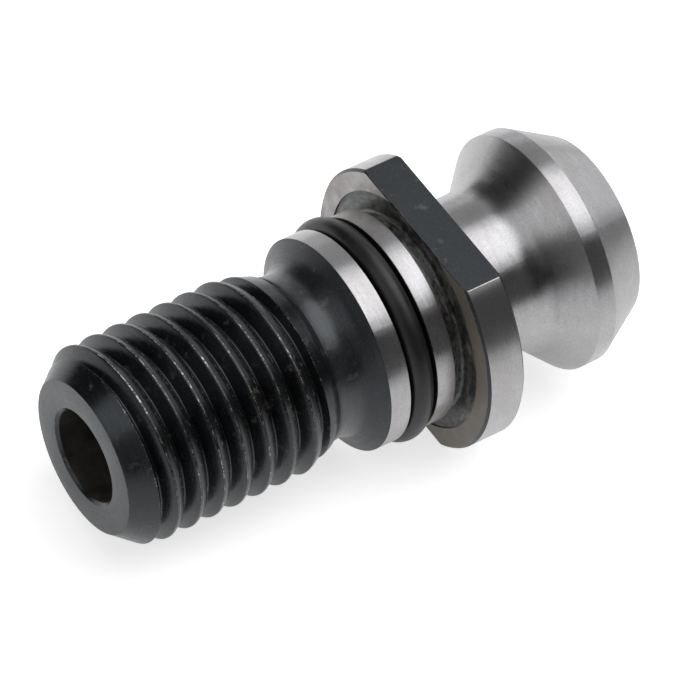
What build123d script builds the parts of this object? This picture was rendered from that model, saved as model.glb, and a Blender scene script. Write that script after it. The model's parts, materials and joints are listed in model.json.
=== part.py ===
from build123d import *
from math import radians, tan
import os

# Pull stud for a 40-taper tool holder, millimetres.
# The X axis is the stud's axis, from the thread to the gripping head. X = 0 is the collar's seat face,
# which meets the end of the tool holder. +Z is normal to the two wrench flats.

# Places along X
THREAD_END = -28.1
THREAD_LAST_FULL = -12.0       # from here on the crests run out towards the undercut
UNDERCUT_START = -10.0
PILOT_FRONT = -6.8
GROOVE_FRONT = -5.05
GROOVE_BACK = -2.7
RELIEF_FRONT = -1.1
SEAT = 0.0
COLLAR_BACK = 3.2
HEAD_EDGE = 11.15
HEAD_BAND_END = 12.65
HEAD_END = 16.4

# M16 x 2 right-hand thread. Tolerance 6g lets its crest be a little under 16 mm.
THREAD_MAJOR_R = 7.9
THREAD_MINOR_R = 6.77
THREAD_PITCH = 2.0
THREAD_ROOT_WIDTH = 0.245      # an eighth of the pitch
THREAD_FLANK_ANGLE = 30.0      # each flank, from the plane across the axis
THREAD_CREST_X = -25.4         # the middle of one crest, on the +Z side
THREAD_START_R = 6.1           # outer edge of the end face
THREAD_START_CHAMFER = 1.9     # along the axis
CUTTER_R = 8.2                 # the thread cutter reaches out past the crest
CUTTER_TURNS = 10.05           # from free air past the end face to free air in the undercut
CUTTER_CREST = -3              # the groove the cutter starts in, counted from THREAD_CREST_X

# Undercut between the thread and the pilot
UNDERCUT_R = 6.5
UNDERCUT_FILLET = 2.0
PILOT_CONE_ANGLE = 60.0        # from the axis

# Pilot, O-ring groove, seat and collar
PILOT_R = 8.5
GROOVE_R = 7.1
GROOVE_FILLET = 0.15
RELIEF_R = 7.8
SEAT_RELIEF_R = 9.55           # the seat is ground outside this radius and cut back inside it
SEAT_RELIEF_DEPTH = 0.1
COLLAR_R = 11.25
COLLAR_CHAMFER = 0.2
ACROSS_FLATS = 18.0

# Neck and gripping head
COLLAR_FILLET = 0.8
NECK_R = 6.475
NECK_FILLET = 2.5
HEAD_R = 9.475
GRIP_CONE_ANGLE = 45.0         # from the axis
NOSE_CONE_ANGLE = 30.0         # from the axis
NOSE_ROUND = 0.2

# Coolant bore, open at both ends
BORE_R = 3.675
BORE_CHAMFER = 0.25

# O-ring, stretched onto the groove's floor and flattened there a little
RING_SECTION_R = 0.95
RING_SQUASH = 0.03


def cone_run(rise, angle_from_axis):
    """The length along the axis in which a cone's radius grows by rise."""
    return rise / tan(radians(angle_from_axis))


def make_blank():
    """The stud before its thread and flats are cut: one turned profile, as (x, radius, fillet) points."""
    thread_top = THREAD_END + THREAD_START_CHAMFER
    cone_foot = PILOT_FRONT - cone_run(PILOT_R - UNDERCUT_R, PILOT_CONE_ANGLE)
    grip_foot = HEAD_EDGE - cone_run(HEAD_R - NECK_R, GRIP_CONE_ANGLE)
    nose_r = HEAD_R - (HEAD_END - HEAD_BAND_END) * tan(radians(NOSE_CONE_ANGLE))
    relief_floor = SEAT + SEAT_RELIEF_DEPTH
    profile = [
        (THREAD_END, BORE_R + BORE_CHAMFER, 0),
        (THREAD_END, THREAD_START_R, 0),
        (thread_top, THREAD_MAJOR_R, 0),
        (THREAD_LAST_FULL, THREAD_MAJOR_R, 0),
        (UNDERCUT_START, UNDERCUT_R, 0),
        (cone_foot, UNDERCUT_R, UNDERCUT_FILLET),
        (PILOT_FRONT, PILOT_R, 0),
        (GROOVE_FRONT, PILOT_R, 0),
        (GROOVE_FRONT, GROOVE_R, GROOVE_FILLET),
        (GROOVE_BACK, GROOVE_R, GROOVE_FILLET),
        (GROOVE_BACK, PILOT_R, 0),
        (RELIEF_FRONT, PILOT_R, 0),
        (RELIEF_FRONT, RELIEF_R, 0),
        (relief_floor, RELIEF_R, 0),
        (relief_floor, SEAT_RELIEF_R, 0),
        (SEAT, SEAT_RELIEF_R, 0),
        (SEAT, COLLAR_R - COLLAR_CHAMFER, 0),
        (SEAT + COLLAR_CHAMFER, COLLAR_R, 0),
        (COLLAR_BACK - COLLAR_CHAMFER, COLLAR_R, 0),
        (COLLAR_BACK, COLLAR_R - COLLAR_CHAMFER, 0),
        (COLLAR_BACK, NECK_R, COLLAR_FILLET),
        (grip_foot, NECK_R, NECK_FILLET),
        (HEAD_EDGE, HEAD_R, 0),
        (HEAD_BAND_END, HEAD_R, 0),
        (HEAD_END, nose_r, NOSE_ROUND),
        (HEAD_END, BORE_R + BORE_CHAMFER, 0),
        (HEAD_END - BORE_CHAMFER, BORE_R, 0),
        (THREAD_END + BORE_CHAMFER, BORE_R, 0),
    ]
    corners = [(x, r) for x, r, _ in profile]
    outline = FilletPolyline(*corners, radius=[fillet for _, _, fillet in profile], close=True)
    # Turned up to the +Z side, where the surfaces then have their seams and the thread cuts cleanly
    return revolve(Rot(90, 0, 0) * make_face(outline), axis=Axis.X)


def make_thread_cutter():
    """The helical groove of the thread. It starts on the +Z side and turns about +X."""
    half_root = THREAD_ROOT_WIDTH / 2
    half_top = half_root + (CUTTER_R - THREAD_MINOR_R) * tan(radians(THREAD_FLANK_ANGLE))
    section = make_face(Polyline(
        (THREAD_MINOR_R, -half_root), (CUTTER_R, -half_top),
        (CUTTER_R, half_top), (THREAD_MINOR_R, half_root), close=True,
    ))
    helix = Helix(THREAD_PITCH, THREAD_PITCH * CUTTER_TURNS, THREAD_MINOR_R)
    groove = sweep(Plane.XZ * section, path=helix, is_frenet=True)
    groove_x = THREAD_CREST_X + (CUTTER_CREST + 0.5) * THREAD_PITCH
    return Plane(origin=(groove_x, 0, 0), x_dir=(0, 0, 1), z_dir=(1, 0, 0)).location * groove


def make_flat_cutters():
    """Two blocks that leave the wrench flats on the collar and clear the rest of the stud."""
    margin = 0.4
    thick = COLLAR_R - ACROSS_FLATS / 2 + margin
    block = Box(COLLAR_BACK - SEAT + 2 * margin, 2 * COLLAR_R, thick)
    middle = (SEAT + COLLAR_BACK) / 2
    return [Pos(middle, 0, side * (ACROSS_FLATS + thick) / 2) * block for side in (1, -1)]


def make_stud_body():
    body = make_blank() - make_thread_cutter()
    for cutter in make_flat_cutters():
        body -= cutter
    return body


def make_o_ring():
    """The ring lies in the middle of its groove. Its inner side is flat where the floor presses it."""
    centre_r = GROOVE_R + RING_SECTION_R - RING_SQUASH
    section = Pos((GROOVE_FRONT + GROOVE_BACK) / 2, centre_r) * Circle(RING_SECTION_R)
    below_floor = Pos(section.center().X, GROOVE_R - RING_SECTION_R) * Rectangle(
        2 * RING_SECTION_R, 2 * RING_SECTION_R)
    return revolve(section - below_floor, axis=Axis.X)


os.makedirs("parts", exist_ok=True)
for name, make in (("stud_body", make_stud_body), ("o_ring", make_o_ring)):
    piece = make()
    piece.label = name
    export_step(piece, f"parts/{name}.step")
    print(f"{name}: {piece.volume:.1f} mm3, valid {piece.is_valid}")
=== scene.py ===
import json
import math

import bpy
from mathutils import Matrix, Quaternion, Vector


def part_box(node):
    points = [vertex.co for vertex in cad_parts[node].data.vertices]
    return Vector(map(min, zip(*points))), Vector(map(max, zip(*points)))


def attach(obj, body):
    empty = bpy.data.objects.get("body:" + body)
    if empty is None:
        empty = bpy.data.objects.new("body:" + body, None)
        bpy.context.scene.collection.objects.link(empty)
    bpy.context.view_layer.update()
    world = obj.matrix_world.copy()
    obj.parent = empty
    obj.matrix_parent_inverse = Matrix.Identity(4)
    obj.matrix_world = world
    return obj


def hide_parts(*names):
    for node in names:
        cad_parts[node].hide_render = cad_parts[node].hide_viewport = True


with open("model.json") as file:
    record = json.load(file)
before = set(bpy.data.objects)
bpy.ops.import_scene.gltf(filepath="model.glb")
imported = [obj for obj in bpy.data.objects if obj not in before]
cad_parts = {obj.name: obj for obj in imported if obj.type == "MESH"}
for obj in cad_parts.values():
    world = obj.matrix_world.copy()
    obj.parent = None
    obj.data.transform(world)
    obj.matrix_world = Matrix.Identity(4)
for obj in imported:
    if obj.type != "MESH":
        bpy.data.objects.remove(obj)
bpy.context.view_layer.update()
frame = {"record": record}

# A pull stud for a 40-taper tool holder, lying on its side. X is the stud's axis, from the thread to the
# gripping head; X = 0 is the collar's seat face; +Z is normal to the wrench flats.
# Shapes are worked out in millimetres and turned into metres when a mesh is made.
MM = 0.001
body_low, body_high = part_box("stud_body")
ring_low, ring_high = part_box("o_ring")
mounts = {m["name"]: m for m in frame["record"]["mounts"]}


def mount_radius(name):
    """A round mount's radius in millimetres, as the record states it."""
    return mounts[name]["dims"]["r_mm"]


# Outermost places, from the frame. The stud stays this little inside the frame's box.
SLACK = 0.001
THREAD_END = body_low.x / MM + SLACK
HEAD_END = body_high.x / MM - SLACK
COLLAR_R = body_high.y / MM - SLACK
HEAD_R = body_high.z / MM - SLACK

# From the record's mounts
HALF_FLATS = mounts["wrench_flat_top"]["pos_m"][2] / MM
BORE_R = mount_radius("coolant_bore")
PILOT_R = mount_radius("pilot")

# M16 x 2 thread. Its crest has a flat, and a shoulder where the side towards the head is rubbed down.
PITCH = 2.0
CREST_R = 7.87
ROOT_R = 6.79
CREST_X = -25.43               # the middle of one crest's flat, on the +Z side
CREST_HALF = 0.1
CREST_FRONT_ROUND = 0.08
CREST_BACK_ROUND = 0.2
SHOULDER_X = 0.73              # from the middle of the crest's flat
SHOULDER_R = 7.5
SHOULDER_ROUND = 0.22
ROOT_ROUND = 0.1
FLANK_ANGLE = 30.0             # from the plane across the axis
THREAD_START_R = 6.13
THREAD_START_CHAMFER = 2.2     # along the axis
THREAD_START_ROUND = 0.15
THREAD_LAST_FULL = -12.85
THREAD_LAST_ROUND = 0.5
RUNOUT_END = -10.6
RUNOUT_ANGLE = 20.0            # from the axis
RUNOUT_ROUND = 0.1

# Undercut between the thread and the pilot: a hollow with one arc between two slopes
UNDERCUT_START = -10.15
UNDERCUT_START_ROUND = 0.12
UNDERCUT_START_R = 6.74
UNDERCUT_SLOPE = 12.0          # the thread's side of the hollow, from the axis
UNDERCUT_FILLET = 2.05

# The threaded stretch is made apart from the turned ones, and joins them at these two places.
THREAD_JOIN_FRONT = THREAD_END + 0.15
THREAD_JOIN_BACK = UNDERCUT_START + 0.2

# Pilot, O-ring groove, seat and collar
PILOT_FRONT = -6.8
PILOT_CONE_ANGLE = 60.0        # from the axis
GROOVE_FRONT = -5.05
GROOVE_BACK = -2.7
GROOVE_R = 7.1
GROOVE_FILLET = 0.15
RELIEF_FRONT = -1.1
RELIEF_R = 7.8
RELIEF_FRONT_FILLET = 0.12
RELIEF_BACK_FILLET = 0.3
SEAT_RELIEF_R = 9.55
SEAT_RELIEF_DEPTH = 0.1
COLLAR_BACK = 3.2
COLLAR_CHAMFER = 0.2

# Neck and gripping head
COLLAR_FILLET = 0.8
NECK_R = 6.475
NECK_FILLET = 2.5
HEAD_EDGE = 11.15
HEAD_BAND_END = 12.65
GRIP_CONE_ANGLE = 45.0         # from the axis
NOSE_CONE_ANGLE = 30.0         # from the axis
NOSE_ROUND = 0.2
BORE_CHAMFER = 0.25

# Edges are broken by this much where nothing larger is named
EDGE = 0.07
SHARP_EDGE = 0.04
WORN_ROUND_LIMIT = 0.5         # a standing edge is rubbed bright if its round is smaller than this

# How the surface was finished, which is its material's place on the mesh
GROUND, BLACK, BORE = 0, 1, 2


# ---------------------------------------------------------------- outlines

ARC_STEP = 18.0                # the most that an outline's arc turns between two points, in degrees


def cone_run(rise, angle_from_axis):
    """The length along the axis in which a cone's radius grows by rise."""
    return rise / math.tan(math.radians(angle_from_axis))


def rounded(corners):
    """The outline through (x, radius, round, finish) corners, with each corner turned into an arc.

    It gives (x, radius, finish, wear) points. finish is that of the stretch that starts there. wear goes up
    to 1 on the arc of a small standing edge, where handling rubs the surface bright, and is 0 elsewhere."""
    points = []
    last = len(corners) - 1
    for i, (x, r, radius, finish) in enumerate(corners):
        here = Vector((x, r))
        if radius == 0 or i in (0, last):
            points.append((x, r, finish, 0.0))
            continue
        before = (Vector(corners[i - 1][:2]) - here).normalized()
        after = (Vector(corners[i + 1][:2]) - here).normalized()
        turn = math.pi - before.angle(after)
        reach = radius * math.tan(turn / 2)
        centre = here + (before + after).normalized() * radius / math.cos(turn / 2)
        count = max(2, math.ceil(math.degrees(turn) / ARC_STEP))
        start, end = here + before * reach - centre, here + after * reach - centre
        side = math.copysign(1.0, start.x * end.y - start.y * end.x)
        standing_edge = side < 0 and radius < WORN_ROUND_LIMIT
        for k in range(count + 1):
            a = side * turn * k / count
            spoke = Vector((start.x * math.cos(a) - start.y * math.sin(a),
                            start.x * math.sin(a) + start.y * math.cos(a)))
            place = centre + spoke
            kept = corners[i - 1][3] if k < count / 2 else finish
            worn = math.sin(math.pi * k / count) if standing_edge else 0.0
            points.append((place.x, place.y, kept, worn))
    return points


def front_outline():
    """From the bore's edge over the end face to a place low on the thread's chamfer."""
    slope = (CREST_R - THREAD_START_R) / THREAD_START_CHAMFER
    return rounded([
        (THREAD_END + BORE_CHAMFER, BORE_R, 0, BLACK),
        (THREAD_END, BORE_R + BORE_CHAMFER, SHARP_EDGE, BLACK),
        (THREAD_END, THREAD_START_R, SHARP_EDGE, BLACK),
        (THREAD_JOIN_FRONT, THREAD_START_R + slope * (THREAD_JOIN_FRONT - THREAD_END), 0, BLACK),
    ])


def undercut_side(x):
    """The radius of the undercut's side towards the thread, which slopes down towards the pilot."""
    return UNDERCUT_START_R - (x - UNDERCUT_START) * math.tan(math.radians(UNDERCUT_SLOPE))


def undercut_foot():
    """Where the undercut's side towards the thread would meet the pilot's cone, as (x, radius)."""
    cone, side = math.tan(math.radians(PILOT_CONE_ANGLE)), math.tan(math.radians(UNDERCUT_SLOPE))
    x = PILOT_FRONT - (PILOT_R - undercut_side(PILOT_FRONT)) / (cone + side)
    return x, undercut_side(x)


def back_outline():
    """From the undercut over the pilot, collar, neck and head, and back along the bore."""
    foot_x, foot_r = undercut_foot()
    grip_foot = HEAD_EDGE - cone_run(HEAD_R - NECK_R, GRIP_CONE_ANGLE)
    nose_r = HEAD_R - (HEAD_END - HEAD_BAND_END) * math.tan(math.radians(NOSE_CONE_ANGLE))
    return rounded([
        (THREAD_JOIN_BACK, undercut_side(THREAD_JOIN_BACK), 0, BLACK),
        (foot_x, foot_r, UNDERCUT_FILLET, BLACK),
        (PILOT_FRONT, PILOT_R, EDGE, GROUND),
        (GROOVE_FRONT, PILOT_R, EDGE, BLACK),
        (GROOVE_FRONT, GROOVE_R, GROOVE_FILLET, BLACK),
        (GROOVE_BACK, GROOVE_R, GROOVE_FILLET, BLACK),
        (GROOVE_BACK, PILOT_R, EDGE, GROUND),
        (RELIEF_FRONT, PILOT_R, EDGE, BLACK),
        (RELIEF_FRONT, RELIEF_R, RELIEF_FRONT_FILLET, BLACK),
        (SEAT_RELIEF_DEPTH, RELIEF_R, RELIEF_BACK_FILLET, BLACK),
        (SEAT_RELIEF_DEPTH, SEAT_RELIEF_R, 0, BLACK),
        (0, SEAT_RELIEF_R, 0, GROUND),
        (0, COLLAR_R - COLLAR_CHAMFER, 0, BLACK),
        (COLLAR_CHAMFER, COLLAR_R, 0, GROUND),
        (COLLAR_BACK - COLLAR_CHAMFER, COLLAR_R, 0, BLACK),
        (COLLAR_BACK, COLLAR_R - COLLAR_CHAMFER, 0, BLACK),
        (COLLAR_BACK, NECK_R, COLLAR_FILLET, GROUND),
        (grip_foot, NECK_R, NECK_FILLET, GROUND),
        (HEAD_EDGE, HEAD_R, EDGE, GROUND),
        (HEAD_BAND_END, HEAD_R, EDGE, GROUND),
        (HEAD_END, nose_r, NOSE_ROUND, BLACK),
        (HEAD_END, BORE_R + BORE_CHAMFER, SHARP_EDGE, BLACK),
        (HEAD_END - BORE_CHAMFER, BORE_R, 0, BORE),
        (THREAD_END + BORE_CHAMFER, BORE_R, 0, BLACK),
    ])


# ---------------------------------------------------------------- rings round the axis

FLAT_CORNER = math.degrees(math.asin(HALF_FLATS / COLLAR_R))
FLAT_COLUMNS = 36
ROUND_COLUMNS = 56
CORNER_GAP = 0.2               # degrees between a corner of the flats and the columns beside it
CORNER_FULLNESS = 0.45         # 1 is a sharp corner, and 0 is cut straight between the columns beside it
TINY = 1e-6


def column_angles():
    """Angles about X, from +Y towards +Z, of the mesh's columns. Each corner of the flats has three."""
    corners = [FLAT_CORNER, 180 - FLAT_CORNER, 180 + FLAT_CORNER, 360 - FLAT_CORNER]
    counts = [FLAT_COLUMNS, ROUND_COLUMNS, FLAT_COLUMNS, ROUND_COLUMNS]
    angles = []
    for i, corner in enumerate(corners):
        following = corners[(i + 1) % 4] + (360 if i == 3 else 0)
        angles += [corner - CORNER_GAP, corner, corner + CORNER_GAP]
        low, high = corner + CORNER_GAP, following - CORNER_GAP
        angles += [low + (high - low) * k / counts[i] for k in range(1, counts[i])]
    return angles


def from_side(angle):
    """The angle counted from the nearer of the +Y and -Y sides, from -90 to 90."""
    return (angle + 90) % 180 - 90


def is_corner(angle):
    """Whether a column runs along a corner of the flats."""
    return abs(abs(from_side(angle)) - FLAT_CORNER) < TINY


COLUMNS = column_angles()


def flat_limit(x):
    """Half the distance across the flats at x. It is a little less at the collar's faces: a broken edge."""
    return HALF_FLATS - max(0.0, SHARP_EDGE - x, SHARP_EDGE - (COLLAR_BACK - x))


def on_circle(x, r, angle):
    """The point at x and radius r, at an angle in degrees from +Y towards +Z."""
    a = math.radians(angle)
    return Vector((x, r * math.cos(a), r * math.sin(a)))


def ring(x, r):
    """One vertex per column at x. In the collar, the ring is cut off by the two flats."""
    in_collar = -TINY <= x <= COLLAR_BACK + TINY
    limit = flat_limit(x) if in_collar else r
    if not in_collar or r <= limit:
        return [on_circle(x, r, a) for a in COLUMNS]
    corner = math.degrees(math.asin(limit / r))
    places = []
    for a in COLUMNS:
        # The columns move round a little, so that those of the flats' corners lie on this ring's corners.
        side = from_side(a)
        if abs(side) <= FLAT_CORNER:
            moved = side * corner / FLAT_CORNER
        else:
            moved = math.copysign(90 - (90 - abs(side)) * (90 - corner) / (90 - FLAT_CORNER), side)
        angle = math.radians(a - side + moved)
        y, z = r * math.cos(angle), r * math.sin(angle)
        if abs(z) > limit:
            y, z = y * limit / abs(z), math.copysign(limit, z)
        places.append(Vector((x, y, z)))
    for i in range(len(places)):
        if is_corner(COLUMNS[i]):
            beside = (places[i - 1] + places[(i + 1) % len(places)]) / 2
            places[i] = beside.lerp(places[i], CORNER_FULLNESS)
    return places


def with_flat_rings(points):
    """Adds rings just inside the collar's faces, so that the flats have their own broken edge."""
    made = []
    for i, point in enumerate(points):
        made.append(point)
        if i + 1 == len(points):
            continue
        x0, r0, finish, wear = point
        x1, r1 = points[i + 1][:2]
        for x in (SHARP_EDGE, COLLAR_BACK - SHARP_EDGE):
            if min(x0, x1) < x < max(x0, x1) and r0 > HALF_FLATS and r1 > HALF_FLATS:
                made.append((x, r0 + (r1 - r0) * (x - x0) / (x1 - x0), finish, wear))
    return made


# ---------------------------------------------------------------- thread

JOIN_MARGIN = 0.03             # thread points this near to a join give way to its ring
THREAD_TURNS = range(-2, 9)    # the crests to make, counted from the one at CREST_X
SECTION_STEP = 0.22            # about the longest straight piece in the thread's section


def between(first, second, share):
    """The point at a share of the way from first to second."""
    return tuple(p + (q - p) * share for p, q in zip(first, second))


def thread_section():
    """(distance from the crest's middle, radius) over one pitch, without the point that starts the next."""
    lean = math.tan(math.radians(FLANK_ANGLE))
    front_foot = -CREST_HALF - (CREST_R - ROOT_R) * lean
    back_foot = SHOULDER_X + (SHOULDER_R - ROOT_R) * lean
    root_middle = (front_foot + back_foot - PITCH) / 2
    path = rounded([
        (root_middle, ROOT_R, 0, BLACK),
        (front_foot, ROOT_R, ROOT_ROUND, BLACK),
        (-CREST_HALF, CREST_R, CREST_FRONT_ROUND, BLACK),
        (CREST_HALF, CREST_R, CREST_BACK_ROUND, BLACK),
        (SHOULDER_X, SHOULDER_R, SHOULDER_ROUND, BLACK),
        (back_foot, ROOT_R, ROOT_ROUND, BLACK),
        (root_middle + PITCH, ROOT_R, 0, BLACK),
    ])
    section = []
    for here, following in zip(path, path[1:]):
        pieces = max(1, round(math.dist(here[:2], following[:2]) / SECTION_STEP))
        section += [between(here[:2], following[:2], k / pieces) for k in range(pieces)]
    return section


def thread_envelope():
    """The turned shape that the thread is cut into: chamfer, crest, run-out and the fall to the undercut."""
    front = front_outline()[-1]
    runout_r = CREST_R - (RUNOUT_END - THREAD_LAST_FULL) * math.tan(math.radians(RUNOUT_ANGLE))
    path = rounded([
        (front[0], front[1], 0, BLACK),
        (THREAD_END + THREAD_START_CHAMFER, CREST_R, THREAD_START_ROUND, BLACK),
        (THREAD_LAST_FULL, CREST_R, THREAD_LAST_ROUND, BLACK),
        (RUNOUT_END, runout_r, RUNOUT_ROUND, BLACK),
        (UNDERCUT_START, UNDERCUT_START_R, UNDERCUT_START_ROUND, BLACK),
        (THREAD_JOIN_BACK + 1, undercut_side(THREAD_JOIN_BACK + 1), 0, BLACK),
    ])
    return [(x, r) for x, r, _, _ in path]


def along(path, x):
    """The radius of a path of (x, radius) points at x."""
    for (x0, r0), (x1, r1) in zip(path, path[1:]):
        if x0 <= x <= x1:
            return r0 + (r1 - r0) * (x - x0) / (x1 - x0)
    return path[0][1] if x < path[0][0] else path[-1][1]


def crest_place(angle):
    """Where along X the middle of the crest lies at an angle. The thread is right-hand."""
    return CREST_X + PITCH * (angle - 90) / 360


def thread_column(angle, section, envelope):
    """One column's points along the thread, as (x, radius, whether it lies on an edge that the turned shape
    cuts), or the name of the ring that takes the point's place."""
    points = [(crest_place(angle) + turn * PITCH + u, r) for turn in THREAD_TURNS for u, r in section]
    rise = [r - along(envelope, x) for x, r in points]
    cut = [(x, min(r, along(envelope, x)), False) for x, r in points]
    for k in range(len(points) - 1):
        # Where the thread runs out of the turned shape, the nearer point moves onto the edge between them.
        if rise[k] * rise[k + 1] < 0:
            share = rise[k] / (rise[k] - rise[k + 1])
            place = between(points[k], points[k + 1], share)
            cut[k if share < 0.5 else k + 1] = (*place, True)
    return ["front" if x < THREAD_JOIN_FRONT + JOIN_MARGIN else
            "back" if x > THREAD_JOIN_BACK - JOIN_MARGIN else (x, r, edge) for x, r, edge in cut]


# ---------------------------------------------------------------- wear and stains

# Handling has rubbed the thread's crests. 1 is the most wear.
FRONT_WEAR = 0.5               # on the crest's front edge
FRONT_WEAR_WIDTH = 0.07
FRONT_WEAR_FOOT = SHOULDER_R - 0.3
SHOULDER_WEAR = 0.9
SHOULDER_WEAR_WIDTH = 0.18
SHOULDER_WEAR_FOOT = SHOULDER_R - 0.2

# Handling and coolant have stained the stud. 1 is the most stained.
SEAT_STAIN = 1.0               # also in the relief groove beside the seat
CLEANER_SEAT_STAIN = 0.5
CLEANER_SEAT_Y = 2.0           # the seat face is cleaner from here towards +Y
RECESS_STAIN = 0.7             # in the seat face's shallow recess
LAND_STAIN = 0.6               # at most, on the pilot's rear land
CLEAN_ANGLE = 128.0            # the middle of the rear land's clean stretch, from +Y towards +Z
CLEAN_HALF_WIDTH = 35.0        # in degrees
CLEAN_FADE = 50.0              # the degrees in which a stain would rise from 0 to 1
ON_FACE = 0.001                # a vertex this near to a face lies on it


def thread_wear(x, r, angle):
    """How much handling has rubbed the thread here: most at the crest's shoulder, then at its front edge."""
    from_crest = (x - crest_place(angle) + PITCH / 2) % PITCH - PITCH / 2
    front_edge = math.exp(-((from_crest + CREST_HALF) / FRONT_WEAR_WIDTH) ** 2)
    shoulder = math.exp(-((from_crest - SHOULDER_X) / SHOULDER_WEAR_WIDTH) ** 2)
    return max(FRONT_WEAR * front_edge * (r > FRONT_WEAR_FOOT),
               SHOULDER_WEAR * shoulder * (r > SHOULDER_WEAR_FOOT))


def stain_at(place):
    """How much handling and old coolant have stained the stud: most on the seat face and in its relief, and
    some on the pilot's rear land, all round but for one clean stretch."""
    r = math.hypot(place.y, place.z)
    on_seat_face = abs(place.x) < ON_FACE
    in_relief = RELIEF_FRONT < place.x < SEAT_RELIEF_DEPTH + ON_FACE and r < SEAT_RELIEF_R + EDGE
    on_rear_land = GROOVE_BACK <= place.x <= RELIEF_FRONT and r > PILOT_R - EDGE
    if on_seat_face:
        return SEAT_STAIN if place.y < CLEANER_SEAT_Y else CLEANER_SEAT_STAIN
    if in_relief:
        return RECESS_STAIN if place.x > 0 else SEAT_STAIN
    if on_rear_land:
        angle = math.degrees(math.atan2(place.z, place.y))
        from_clean = abs((angle - CLEAN_ANGLE + 180) % 360 - 180)
        return min(LAND_STAIN, max(0.0, (from_clean - CLEAN_HALF_WIDTH) / CLEAN_FADE))
    return 0.0


# ---------------------------------------------------------------- the stud's mesh

SHARP_ANGLE = 34.0             # edges where the surface turns by more than this are shaded sharp


def stud_mesh():
    """The whole stud as one closed surface: its vertices, their wear, its faces and their finishes."""
    vertices, wear, faces, finishes = [], [], [], []
    count = len(COLUMNS)

    def add_ring(x, r, worn):
        first = len(vertices)
        vertices.extend(ring(x, r))
        wear.extend([worn] * count)
        return first

    def join(first, second, finish):
        for i in range(count):
            j = (i + 1) % count
            face = (first + i, second + i, second + j, first + j)
            faces.append(face)
            # The flats and their broken edges are black, whatever the collar round them is.
            on_flat = all(abs(vertices[v].z) > HALF_FLATS - 1.5 * SHARP_EDGE for v in face)
            in_collar = all(0 <= vertices[v].x <= COLLAR_BACK for v in face)
            at_corner = is_corner(COLUMNS[i]) or is_corner(COLUMNS[j])
            finishes.append(BLACK if on_flat and in_collar and not at_corner else finish)

    def add_outline(outline):
        rings = []
        for x, r, finish, worn in with_flat_rings(outline):
            rings.append((add_ring(x, r, worn), finish))
        for (first, finish), (second, _) in zip(rings, rings[1:]):
            join(first, second, finish)
        return rings[0][0], rings[-1][0]

    # The back outline ends where the front one starts, so its last point is left out.
    front, front_end = add_outline(front_outline())
    back_start, back = add_outline(back_outline()[:-1])
    join(back, front, BORE)

    section, envelope = thread_section(), thread_envelope()
    grid = []
    for i, angle in enumerate(COLUMNS):
        column = []
        for point in thread_column(angle, section, envelope):
            if isinstance(point, str):
                column.append((front_end if point == "front" else back_start) + i)
                continue
            x, r, edge = point
            column.append(len(vertices))
            vertices.append(on_circle(x, r, angle))
            wear.append(1.0 if edge else thread_wear(x, r, angle))
        grid.append(column)
    for i in range(count):
        # After a turn the thread has moved on by a pitch, so the last column joins the first a pitch later.
        following, ahead = (grid[i + 1], 0) if i + 1 < count else (grid[0], len(section))
        for k in range(len(grid[i]) - 1 - ahead):
            corners = [grid[i][k], grid[i][k + 1], following[k + 1 + ahead], following[k + ahead]]
            loop = [v for n, v in enumerate(corners) if v != corners[n - 1]]
            if len(set(loop)) >= 3:
                faces.append(tuple(loop))
                finishes.append(BLACK)
    return vertices, wear, faces, finishes


def make_object(name, vertices, faces):
    """A smooth-shaded object from points in millimetres."""
    mesh = bpy.data.meshes.new(name)
    mesh.from_pydata([tuple(v * MM) for v in vertices], [], faces)
    mesh.validate()
    mesh.update()
    mesh.shade_smooth()
    piece = bpy.data.objects.new(name, mesh)
    bpy.context.scene.collection.objects.link(piece)
    return piece


def make_stud(materials):
    """The stud, with its materials in the order of GROUND, BLACK and BORE."""
    vertices, wear, faces, finishes = stud_mesh()
    piece = make_object("pull_stud", vertices, faces)
    mesh = piece.data
    for material in materials:
        mesh.materials.append(material)
    mesh.polygons.foreach_set("material_index", finishes)
    mesh.attributes.new("wear", "FLOAT", "POINT").data.foreach_set("value", wear)
    stains = [stain_at(v) for v in vertices]
    mesh.attributes.new("stain", "FLOAT", "POINT").data.foreach_set("value", stains)
    mesh.set_sharp_from_angle(angle=math.radians(SHARP_ANGLE))
    weighted = piece.modifiers.new("even_shading", "WEIGHTED_NORMAL")
    weighted.keep_sharp = True
    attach(piece, "root")
    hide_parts("stud_body")
    return piece


# ---------------------------------------------------------------- the O-ring's mesh

RING_COLUMNS = 160
RING_SECTION_POINTS = 28
RING_GAP = 0.005               # between the ring's flat inner side and the groove's floor


def make_o_ring(material):
    """The rubber ring in its groove. Its inner side is flat where it presses on the groove's floor."""
    outer = ring_high.z / MM
    middle = (ring_low.x + ring_high.x) / 2 / MM
    section_r = (ring_high.x - ring_low.x) / 2 / MM
    vertices, faces = [], []
    for i in range(RING_COLUMNS):
        for k in range(RING_SECTION_POINTS):
            b = math.tau * k / RING_SECTION_POINTS
            x = middle + section_r * math.cos(b)
            r = max(GROOVE_R + RING_GAP, outer - section_r + section_r * math.sin(b))
            vertices.append(on_circle(x, r, 360 * i / RING_COLUMNS))
    for i in range(RING_COLUMNS):
        here, beside = i * RING_SECTION_POINTS, (i + 1) % RING_COLUMNS * RING_SECTION_POINTS
        for k in range(RING_SECTION_POINTS):
            n = (k + 1) % RING_SECTION_POINTS
            faces.append((here + k, beside + k, beside + n, here + n))
    piece = make_object("seal_ring", vertices, faces)
    piece.data.materials.append(material)
    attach(piece, "root")
    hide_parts("o_ring")
    return piece


# ---------------------------------------------------------------- materials

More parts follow.
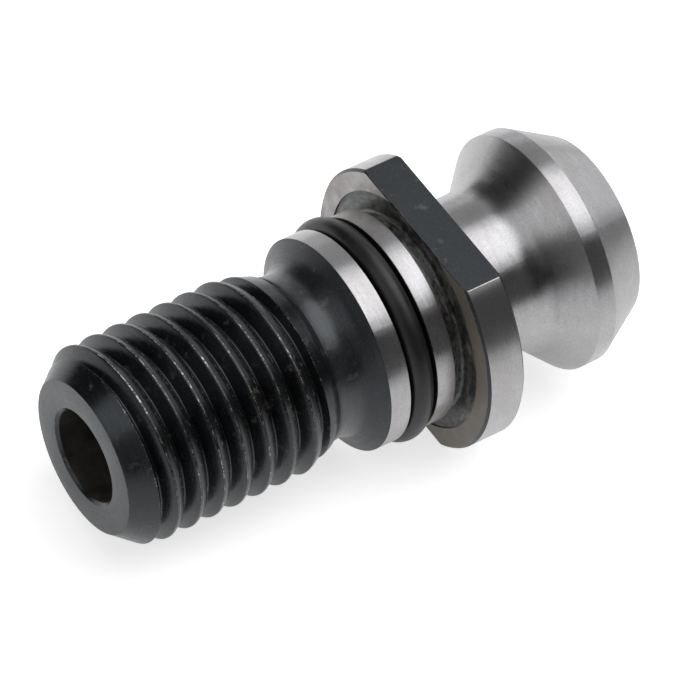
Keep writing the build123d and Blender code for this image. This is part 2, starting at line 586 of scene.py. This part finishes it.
# Colours, as linear red, green and blue
STEEL = (0.47, 0.463, 0.475)
STEEL_CLOUD = (0.418, 0.408, 0.41)
STEEL_LINE = (0.31, 0.305, 0.31)
STEEL_GRAIN = (0.3, 0.293, 0.302)
STEEL_STAIN = (0.18, 0.158, 0.135)
STEEL_PIT = (0.2, 0.18, 0.17)
OXIDE = (0.0045, 0.0055, 0.0072)
OXIDE_CLOUD = (0.011, 0.0118, 0.013)
OXIDE_GRIT = (0.027, 0.028, 0.031)
OXIDE_OILED = (0.0035, 0.0035, 0.0035)
# Painted reflection: a paler oxide tone for the end face, in place of the bright table that it mirrors.
OXIDE_END_FACE_PAINTED_REFLECTION = (0.036, 0.0365, 0.039)
OXIDE_DUST = (0.06, 0.057, 0.05)
OXIDE_SCUFF = (0.13, 0.125, 0.115)
OXIDE_GRIME = (0.08, 0.075, 0.063)
OXIDE_MARK = (0.2, 0.19, 0.172)
OXIDE_BARE_EDGE = (0.36, 0.35, 0.34)
OXIDE_REFLECTION_TINT = (0.86, 0.94, 1.0, 1.0)
DRILLED = (0.025, 0.0235, 0.022)
DRILLED_CLOUD = (0.06, 0.054, 0.049)
RUBBER = (0.008, 0.008, 0.009)
RUBBER_CLOUD = (0.014, 0.014, 0.014)
RUBBER_DUST = (0.05, 0.05, 0.048)
TABLE_WHITE = (0.8, 0.8, 0.8, 1.0)

# Where the black oxide's zones fade in: from nothing at the first place on X to all at the second
OIL_EDGE = (UNDERCUT_START + 0.5, RUNOUT_END - 0.6)
FILM_FRONT = (UNDERCUT_START, UNDERCUT_START + 0.5)
FILM_BACK = (PILOT_FRONT - 0.9, PILOT_FRONT - 1.7)
# The end face's zone carries a painted reflection of the bright table.
END_FACE_EDGE = (THREAD_END + 0.04, THREAD_END + 0.01)


class Nodes:
    """One material's node tree, and what adds nodes to it."""

    def __init__(self, name):
        self.material = bpy.data.materials.new(name)
        self.material.use_nodes = True
        self.tree = self.material.node_tree
        self.shader = self.tree.nodes["Principled BSDF"]

    def add(self, kind, **values):
        """A node with its properties and unlinked inputs set, and its other inputs linked, by name."""
        node = self.tree.nodes.new("ShaderNode" + kind)
        inputs = values.pop("inputs", {})
        for key, value in values.items():
            setattr(node, key, value)
        for key, value in inputs.items():
            self.give(node.inputs[key], value)
        return node

    def give(self, socket, value):
        """Links a socket's value, or sets it from a plain one."""
        if isinstance(value, bpy.types.NodeSocket):
            self.tree.links.new(value, socket)
        else:
            socket.default_value = value

    def math(self, operation, *values):
        """A sum, product or the like of numbers and sockets."""
        node = self.add("Math", operation=operation)
        for socket, value in zip(node.inputs, values):
            self.give(socket, value)
        return node.outputs[0]

    def scaled_sum(self, value, factor, other):
        """value times factor, plus other."""
        return self.math("ADD", self.math("MULTIPLY", value, factor), other)

    def ramp(self, value, low, high, to_low=0.0, to_high=1.0):
        """value from low..high, clamped and eased, to to_low..to_high."""
        node = self.add("MapRange", interpolation_type="SMOOTHSTEP", inputs={
            "Value": value, "From Min": low, "From Max": high, "To Min": to_low, "To Max": to_high})
        return node.outputs["Result"]

    def mix(self, factor, first, second):
        """A colour mix. first and second are colours or sockets."""
        node = self.add("Mix", data_type="RGBA")
        self.give(node.inputs["Factor"], factor)
        for socket, value in ((node.inputs[6], first), (node.inputs[7], second)):
            self.give(socket, value if isinstance(value, bpy.types.NodeSocket) else (*value, 1.0))
        return node.outputs[2]

    def noise(self, scale, detail=3.0, roughness=0.5):
        """Plain noise in the object's own space. scale is in features per millimetre."""
        place = self.add("TexCoord").outputs["Object"]
        node = self.add("TexNoise", inputs={
            "Vector": place, "Scale": scale / MM, "Detail": detail, "Roughness": roughness})
        return node.outputs["Fac"]

    def turned(self, lines_per_mm, around, detail=2.0, roughness=0.55):
        """Noise drawn out round the X axis, as turning and grinding leave it. around is how fast it changes
        on the way round: low for long lines."""
        split = self.add("SeparateXYZ", inputs={"Vector": self.add("TexCoord").outputs["Object"]})
        x, y, z = split.outputs
        radius = self.math("SQRT", self.math("ADD", self.math("POWER", y, 2.0), self.math("POWER", z, 2.0)))
        place = self.add("CombineXYZ", inputs={
            "X": self.math("MULTIPLY", x, lines_per_mm / MM),
            "Y": self.math("MULTIPLY", self.math("DIVIDE", y, radius), around),
            "Z": self.math("MULTIPLY", self.math("DIVIDE", z, radius), around)})
        node = self.add("TexNoise", noise_dimensions="4D", inputs={
            "Vector": place.outputs[0], "W": self.math("MULTIPLY", radius, lines_per_mm / MM),
            "Scale": 1.0, "Detail": detail, "Roughness": roughness})
        return node.outputs["Fac"]

    def bump(self, height, distance_mm, under=None):
        """The normal of a relief, distance_mm high where height is 1, or sunk if it is negative. It is laid
        over the normal under."""
        node = self.add("Bump", inputs={"Height": height, "Distance": distance_mm * MM})
        if under is not None:
            self.give(node.inputs["Normal"], under)
        return node.outputs["Normal"]

    def set(self, **values):
        """Sets or links the shader's inputs, given with _ for each space."""
        for key, value in values.items():
            self.give(self.shader.inputs[key.replace("_", " ")], value)

    def turn_highlights(self, anisotropy):
        """Highlights spread across the grinding lines, which run round X."""
        tangent = self.add("Tangent", direction_type="RADIAL", axis="X")
        self.set(Anisotropic=anisotropy, Anisotropic_Rotation=0.25, Tangent=tangent.outputs[0])


def ground_steel():
    """Bare ground steel: fine lines round the axis, faint clouds, brown stains and a few pits."""
    n = Nodes("ground_steel")
    fine = n.turned(9.0, 7.0, detail=3.0, roughness=0.65)
    broad = n.turned(1.6, 1.2, detail=2.0)
    cloud = n.noise(0.35, detail=4.0)
    grain = n.noise(6.5, detail=3.0, roughness=0.75)
    pits = n.ramp(n.noise(2.6, detail=2.0), 0.78, 0.82)
    stained = n.add("Attribute", attribute_name="stain").outputs["Fac"]
    patches = n.scaled_sum(n.noise(0.7, detail=6.0, roughness=0.72), 1.1, stained)
    stain = n.math("MULTIPLY", n.ramp(patches, 0.6, 1.6), n.ramp(stained, 0.0, 0.3))

    tone = n.mix(n.ramp(cloud, 0.35, 0.7), STEEL, STEEL_CLOUD)
    tone = n.mix(n.ramp(fine, 0.45, 0.8, 0.0, 0.2), tone, STEEL_LINE)
    tone = n.mix(n.ramp(grain, 0.42, 0.68, 0.0, 0.5), tone, STEEL_GRAIN)
    tone = n.mix(stain, tone, STEEL_STAIN)
    tone = n.mix(pits, tone, STEEL_PIT)
    roughness = n.math("ADD", n.ramp(fine, 0.25, 0.8, 0.27, 0.37), n.ramp(broad, 0.3, 0.7, -0.02, 0.02))
    n.set(Base_Color=tone, Metallic=n.math("SUBTRACT", 1.0, n.math("MULTIPLY", stain, 0.7)),
          Roughness=n.math("ADD", roughness, n.math("MULTIPLY", stain, 0.12)),
          Normal=n.bump(fine, 0.0007, under=n.bump(grain, 0.0008, under=n.bump(pits, -0.006))))
    n.turn_highlights(0.74)
    return n.material


def oxide_zones(n):
    """Where the thread is oiled, where the undercut has a film of oil, and the end face, which is painted
    paler as a painted reflection of the bright table.
    """
    x = n.add("SeparateXYZ", inputs={"Vector": n.add("TexCoord").outputs["Object"]}).outputs["X"]
    oiled, film_front, film_back, end_face_painted_reflection = [
        n.ramp(x, start * MM, end * MM) for start, end in (OIL_EDGE, FILM_FRONT, FILM_BACK, END_FACE_EDGE)]
    return oiled, n.math("MULTIPLY", film_front, film_back), end_face_painted_reflection


def oxide_rubbed(n, grit):
    """Where the oxide is rubbed through to bare steel, where it is only scuffed, and where it holds dust."""
    worn = n.add("Attribute", attribute_name="wear").outputs["Fac"]
    chips = n.scaled_sum(n.noise(1.5, detail=5.0, roughness=0.75), 0.9, n.math("MULTIPLY", grit, 0.6))
    knocks = n.scaled_sum(n.noise(0.22, detail=2.0), 0.5, chips)
    bare = n.ramp(n.scaled_sum(worn, 0.42, knocks), 1.44, 1.6)
    scuff = n.ramp(n.scaled_sum(worn, 0.42, chips), 1.12, 1.32)
    dust = n.ramp(n.scaled_sum(worn, 0.06, grit), 0.64, 0.76, 0.0, 0.6)
    return bare, scuff, dust


def oxide_stained(n):
    """Where old coolant has left grime, and scored or caked marks."""
    stained = n.add("Attribute", attribute_name="stain").outputs["Fac"]
    scored = n.ramp(n.turned(1.8, 3.0, detail=5.0, roughness=0.75), 0.5, 0.6)
    caked = n.ramp(n.noise(1.1, detail=6.0, roughness=0.75), 0.54, 0.64, 0.0, 0.55)
    marks = n.math("MULTIPLY", stained, n.math("MAXIMUM", scored, caked))
    film = n.noise(0.8, detail=6.0, roughness=0.7)
    grime = n.ramp(n.scaled_sum(stained, 0.16, film), 0.57, 0.72, 0.0, 0.9)
    return grime, marks


def black_oxide():
    """Black oxide over turned steel: near black and satin, rubbed through to bright steel on its edges. Oil
    makes the thread blacker and glossier, and the undercut glossier. The end face is painted paler, a
    painted reflection of the bright table."""
    n = Nodes("black_oxide")
    lines = n.turned(5.0, 2.5, detail=3.0, roughness=0.6)
    cloud = n.noise(0.5, detail=4.0, roughness=0.6)
    grit = n.noise(7.0, detail=3.0, roughness=0.6)
    oiled, film, end_face_painted_reflection = oxide_zones(n)
    bare, scuff, dust = oxide_rubbed(n, grit)
    grime, marks = oxide_stained(n)

    tone = n.mix(n.ramp(cloud, 0.35, 0.7), OXIDE, OXIDE_CLOUD)
    tone = n.mix(n.ramp(grit, 0.45, 0.68, 0.0, 0.7), tone, OXIDE_GRIT)
    tone = n.mix(n.math("MULTIPLY", oiled, 0.7), tone, OXIDE_OILED)
    # Painted reflection: the end face is made paler, in place of the bright table that it mirrors.
    tone = n.mix(n.math("MULTIPLY", end_face_painted_reflection, 0.8), tone, OXIDE_END_FACE_PAINTED_REFLECTION)
    tone = n.mix(dust, tone, OXIDE_DUST)
    tone = n.mix(scuff, tone, OXIDE_SCUFF)
    tone = n.mix(grime, tone, OXIDE_GRIME)
    tone = n.mix(marks, tone, OXIDE_MARK)
    roughness = n.math("ADD", n.ramp(lines, 0.25, 0.8, 0.3, 0.43), n.ramp(cloud, 0.3, 0.7, -0.03, 0.04))
    roughness = n.scaled_sum(scuff, 0.12, roughness)
    n.set(Base_Color=n.mix(bare, tone, OXIDE_BARE_EDGE), Metallic=bare, IOR=1.54,
          Specular_Tint=OXIDE_REFLECTION_TINT,
          Coat_Weight=n.math("MULTIPLY", film, 0.45), Coat_Roughness=0.2, Coat_IOR=1.5,
          Roughness=n.math("SUBTRACT", roughness, n.math("MULTIPLY", oiled, 0.11)))
    rough = n.bump(scuff, 0.004, under=n.bump(grit, 0.0015))
    n.set(Normal=n.bump(lines, 0.008, under=n.bump(cloud, 0.015, under=rough)))
    n.turn_highlights(0.35)
    return n.material


def bore_black():
    """The drilled bore: darker and rougher, with drilling marks round it."""
    n = Nodes("drilled_bore")
    lines = n.turned(2.5, 2.0, detail=3.0, roughness=0.7)
    cloud = n.noise(0.6, detail=3.0)
    n.set(Base_Color=n.mix(n.ramp(cloud, 0.35, 0.7), DRILLED, DRILLED_CLOUD),
          Roughness=n.ramp(lines, 0.25, 0.8, 0.35, 0.55), IOR=1.6, Normal=n.bump(lines, 0.02))
    return n.material


def seal_rubber():
    """Black moulded nitrile rubber with a soft shine and a little dust."""
    n = Nodes("seal_rubber")
    grain = n.noise(9.0, detail=3.0)
    cloud = n.noise(0.6, detail=3.0)
    dust = n.ramp(n.noise(4.0, detail=2.0), 0.66, 0.75, 0.0, 0.35)
    tone = n.mix(n.ramp(cloud, 0.3, 0.7), RUBBER, RUBBER_CLOUD)
    n.set(Base_Color=n.mix(dust, tone, RUBBER_DUST),
          Roughness=n.ramp(cloud, 0.3, 0.7, 0.34, 0.44), IOR=1.48, Normal=n.bump(grain, 0.003))
    return n.material


# ---------------------------------------------------------------- floor, lights and camera

# The camera sees the stud from its thread end and above. Its angles are those of direction().
CAMERA_AZIMUTH = -39.315
CAMERA_ELEVATION = 50.206
CAMERA_ROLL = 7.37
CAMERA_DISTANCE = 0.54055
CAMERA_LENS = 390.44
AIM = Vector((-5.78, 0.127, 0.119)) * MM

FLOOR_HALF = 3000.0
FLOOR_BRIGHT_PLACE = (0.01, 0.05, 0.0)       # in metres


def direction(azimuth, elevation):
    """The unit vector towards an azimuth and elevation in degrees. Azimuth 0 is -Y, and 90 is +X."""
    a, e = math.radians(azimuth), math.radians(elevation)
    return Vector((math.sin(a) * math.cos(e), -math.cos(a) * math.cos(e), math.sin(e)))


def make_camera():
    """The camera, which looks at AIM."""
    data = bpy.data.cameras.new("camera")
    data.lens = CAMERA_LENS
    data.clip_start, data.clip_end = 0.01, 20.0
    camera = bpy.data.objects.new("camera", data)
    back = direction(CAMERA_AZIMUTH, CAMERA_ELEVATION)
    camera.location = AIM + back * CAMERA_DISTANCE
    camera.rotation_mode = "QUATERNION"
    roll = Quaternion((0, 0, 1), math.radians(CAMERA_ROLL))
    camera.rotation_quaternion = (-back).to_track_quat("-Z", "Y") @ roll
    bpy.context.scene.collection.objects.link(camera)
    bpy.context.scene.camera = camera


def make_softbox(name, azimuth, elevation, distance, width, height, radiance, shape="RECTANGLE"):
    """A lamp panel that faces the stud, from a direction in degrees and a distance in metres. Where a
    rectangle's radiance is 1, its reflection in a mirror is white."""
    data = bpy.data.lights.new(name, "AREA")
    data.shape = shape
    data.size, data.size_y = width, height
    data.energy = radiance * math.pi * width * height
    lamp = bpy.data.objects.new(name, data)
    away = direction(azimuth, elevation)
    lamp.location = away * distance
    lamp.rotation_mode = "QUATERNION"
    lamp.rotation_quaternion = away.to_track_quat("Z", "Y")
    lamp.visible_camera = False
    bpy.context.scene.collection.objects.link(lamp)


def make_lights():
    """The softboxes, and a room that is white to the camera and dark in reflections."""
    # name, azimuth, elevation, distance, width, height, radiance
    make_softbox("top_box", 82, 65, 0.9, 1.22, 1.3, 1.0, "ELLIPSE")
    make_softbox("top_middle", 84, 66, 0.88, 0.8, 0.85, 0.72, "ELLIPSE")
    make_softbox("right_box", 106, 6, 1.1, 0.84, 0.36, 1.3)
    make_softbox("left_box", -94, 28, 1.1, 0.62, 0.5, 0.72)
    make_softbox("left_wall", -86, 20, 1.2, 1.6, 0.8, 0.22)
    make_softbox("left_high", -90, 58, 1.0, 0.9, 0.9, 0.6)
    make_softbox("back_box", 150, 7, 1.2, 1.1, 0.3, 0.45)
    make_softbox("back_wall", 150, 27, 1.25, 0.9, 1.3, 0.45)
    make_softbox("front_wall", 28, 17, 1.3, 1.2, 0.8, 0.07)
    world = bpy.data.worlds.new("studio")
    world.use_nodes = True
    nodes, links = world.node_tree.nodes, world.node_tree.links
    seen = nodes.new("ShaderNodeBackground")
    seen.inputs["Color"].default_value = (1, 1, 1, 1)
    room = nodes["Background"]
    room.inputs["Color"].default_value = (0.03, 0.03, 0.032, 1)
    choose = nodes.new("ShaderNodeMixShader")
    links.new(nodes.new("ShaderNodeLightPath").outputs["Is Camera Ray"], choose.inputs[0])
    links.new(room.outputs[0], choose.inputs[1])
    links.new(seen.outputs[0], choose.inputs[2])
    links.new(choose.outputs[0], nodes["World Output"].inputs["Surface"])
    bpy.context.scene.world = world


def make_floor():
    """A plain white table that glows: a painted glow. The stud lies on its O-ring and its first crest, so
    the table tilts with it. To the camera it glows evenly white, which lightens the stud's shadow on it; in
    the stud's reflections and in the light it gives, it glows most behind the stud."""
    near = Vector((THREAD_END + THREAD_START_CHAMFER, CREST_R))
    far = Vector((ring_low.x + ring_high.x, 2 * ring_high.z)) / (2 * MM)
    slope = (far.y - near.y) / (far.x - near.x)
    corners = []
    for side_x, side_y in ((-1, -1), (1, -1), (1, 1), (-1, 1)):
        x, y = side_x * FLOOR_HALF, side_y * FLOOR_HALF
        corners.append(Vector((x, y, -(far.y + slope * (x - far.x)))))
    floor = make_object("table", corners, [(0, 1, 2, 3)])
    n = Nodes("white_table")
    place = n.add("TexCoord").outputs["Object"]
    away = n.add("VectorMath", operation="DISTANCE", inputs={0: place, 1: FLOOR_BRIGHT_PLACE})
    # Painted glow: most behind the stud for its reflections and light, and evenly white to the camera, which
    # lightens the stud's shadow.
    glow = n.ramp(away.outputs["Value"], 0.04, 0.18, 0.52, 0.06)
    seen = n.math("MULTIPLY", n.add("LightPath").outputs["Is Camera Ray"], 0.7)
    n.set(Base_Color=TABLE_WHITE, Roughness=0.7, IOR=1.3,
          Emission_Color=(1.0, 1.0, 1.0, 1.0), Emission_Strength=n.math("MAXIMUM", glow, seen))
    floor.data.materials.append(n.material)


bpy.context.scene.view_settings.view_transform = "Standard"
make_camera()
make_lights()
make_floor()
make_stud([ground_steel(), black_oxide(), bore_black()])
make_o_ring(seal_rubber())
